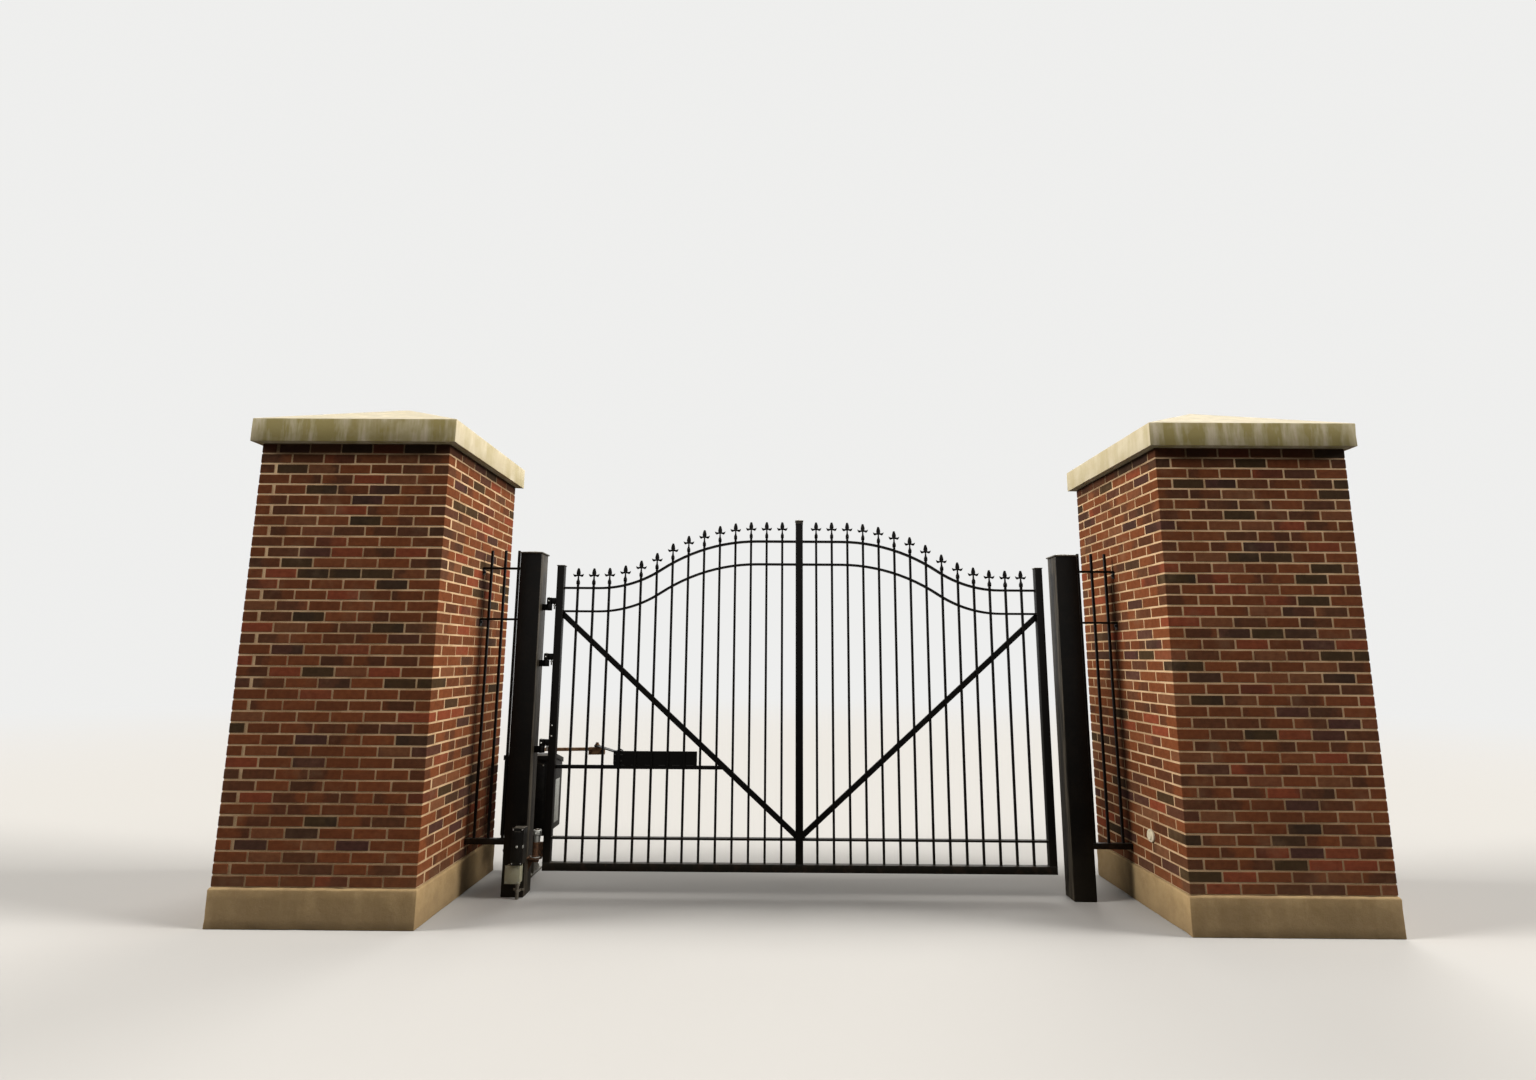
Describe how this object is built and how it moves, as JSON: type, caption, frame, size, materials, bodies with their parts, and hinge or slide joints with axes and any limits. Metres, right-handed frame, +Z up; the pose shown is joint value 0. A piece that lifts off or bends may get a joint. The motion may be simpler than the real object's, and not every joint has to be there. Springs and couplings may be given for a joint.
{
  "type": "wrought iron driveway gate",
  "caption": "Arched wrought iron swing gate with spear finials, hung on a steel post between square brick piers with stone caps, with an arm operator.",
  "frame": {"origin": "on the floor, midway between the two piers and midway through the whole depth, from the front of the caps to the back of the operator", "axes": "+Z up, +X from the hinge pier to the latch pier as seen from the street, +Y inwards, away from the street"},
  "size_m": [7.078, 1.4244, 3.375],
  "materials": {
    "gate_paint": "semi-gloss black paint, worn and dusty",
    "cap_paint": "weathered black paint, lit from above",
    "brick": "wire-cut red and brown brick in light mortar",
    "limestone": "smooth sawn stone, stained",
    "concrete": "rough cast concrete",
    "rusty_iron": "rusted through black paint",
    "galvanised_steel": "dull zinc",
    "bright_steel": "turned and greased",
    "operator_paint": "textured dark paint",
    "tan_paint": "rusted primer",
    "black_plastic": "matt",
    "grey_plastic": "matt, sun-bleached",
    "white_plastic": "yellowed gloss"
  },
  "bodies": {
    "gateway": {"hinge_pier_plinth": "concrete", "hinge_pier_shaft": "brick", "hinge_pier_cap": "limestone", "latch_pier_plinth": "concrete", "latch_pier_shaft": "brick", "latch_pier_cap": "limestone", "hinge_post": "gate_paint", "hinge_post_cap": "cap_paint", "latch_post": "gate_paint", "latch_post_cap": "cap_paint", "hinge_infill_pickets": "gate_paint", "hinge_infill_rails": "gate_paint", "hinge_infill_tube": "gate_paint", "latch_infill_pickets": "gate_paint", "latch_infill_rails": "gate_paint", "latch_infill_tube": "gate_paint", "hinge_brackets": "gate_paint", "foot_bracket": "rusty_iron", "foot_collar": "galvanised_steel", "operator_pedestal": "operator_paint", "operator_cabinet": "operator_paint", "operator_lid": "operator_paint", "control_box": "black_plastic", "junction_box": "grey_plastic", "conduit": "galvanised_steel", "beam_reflector": "white_plastic"},
    "leaf": {"hinge_knuckles": "gate_paint", "foot_barrel": "rusty_iron", "link_bracket": "gate_paint", "arm_plate": "gate_paint", "arm_rail": "gate_paint", "hinge_stile": "gate_paint", "latch_stile": "gate_paint", "centre_stile": "gate_paint", "hinge_stile_cap": "cap_paint", "latch_stile_cap": "cap_paint", "centre_stile_cap": "cap_paint", "bottom_rail": "gate_paint", "lower_rails": "gate_paint", "outer_arch_rails": "gate_paint", "inner_arch_rails": "gate_paint", "hinge_side_brace": "gate_paint", "latch_side_brace": "gate_paint", "hinge_side_pickets": "gate_paint", "latch_side_pickets": "gate_paint", "hinge_side_finials": "gate_paint", "latch_side_finials": "gate_paint"},
    "crank": {"crank_shaft": "bright_steel", "crank_arm": "tan_paint"},
    "link": {"link_arm": "gate_paint"}
  },
  "joints": [
    {"name": "leaf_swing", "type": "hinge", "parent": "gateway", "child": "leaf", "pos_m": [-1.78, 0.01725, 0.24], "axis": [0, 0, 1], "range_deg": [0, 90]},
    {"name": "crank_turn", "type": "hinge", "parent": "gateway", "child": "crank", "pos_m": [-2.04, 0.43725, 0.872], "axis": [0, 0, 1], "range_deg": [0, 90]},
    {"name": "link_turn", "type": "hinge", "parent": "crank", "child": "link", "pos_m": [-1.51, 0.51325, 0.909], "axis": [0, 0, 1], "range_deg": [-90, 0]}
  ],
  "couplings": [
    {"joint": "crank_turn", "follows": "leaf_swing", "ratio": 1},
    {"joint": "link_turn", "follows": "leaf_swing", "ratio": -1}
  ]
}
